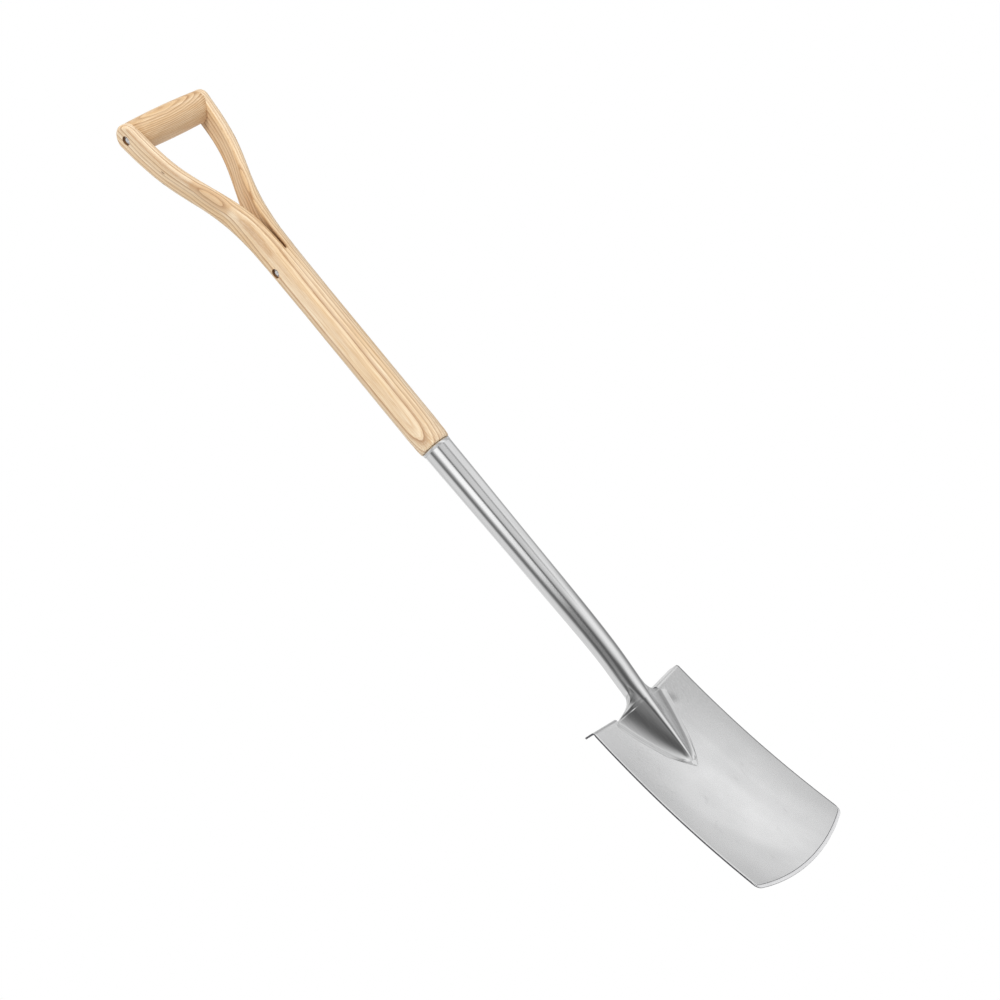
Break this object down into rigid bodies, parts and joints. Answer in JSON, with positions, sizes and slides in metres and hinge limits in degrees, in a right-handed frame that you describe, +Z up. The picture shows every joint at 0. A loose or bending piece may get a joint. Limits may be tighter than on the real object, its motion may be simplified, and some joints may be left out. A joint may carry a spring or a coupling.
{
  "type": "garden spade",
  "caption": "Border spade with a dished stainless blade and folded treads, long cranked tapered socket, and a split-ash shaft bent into an open D handle with a turned grip.",
  "frame": {"origin": "bottom centre of the bounding box: the lowest point of the cutting edge is at z = 0, x = 0 is the middle of the blade and y = 0 is the middle of the depth", "axes": "+Z up the straight part of the shaft towards the handle, -Y is the dished front of the blade, +X is to the right when the front is looked at"},
  "size_m": [0.1408, 0.0792, 1.0444],
  "materials": {
    "blade": "satin",
    "socket": "polished",
    "shaft": "sealed ash",
    "grip": "sealed ash",
    "grip_rivet": "plated",
    "split_rivet": "plated",
    "rivet_burrs": "plated",
    "socket_screw": "plated"
  },
  "bodies": {
    "root": {"blade": "blade", "socket": "socket", "shaft": "shaft", "grip": "grip", "grip_rivet": "grip_rivet", "split_rivet": "split_rivet", "rivet_burrs": "rivet_burrs", "socket_screw": "socket_screw"}
  },
  "joints": []
}
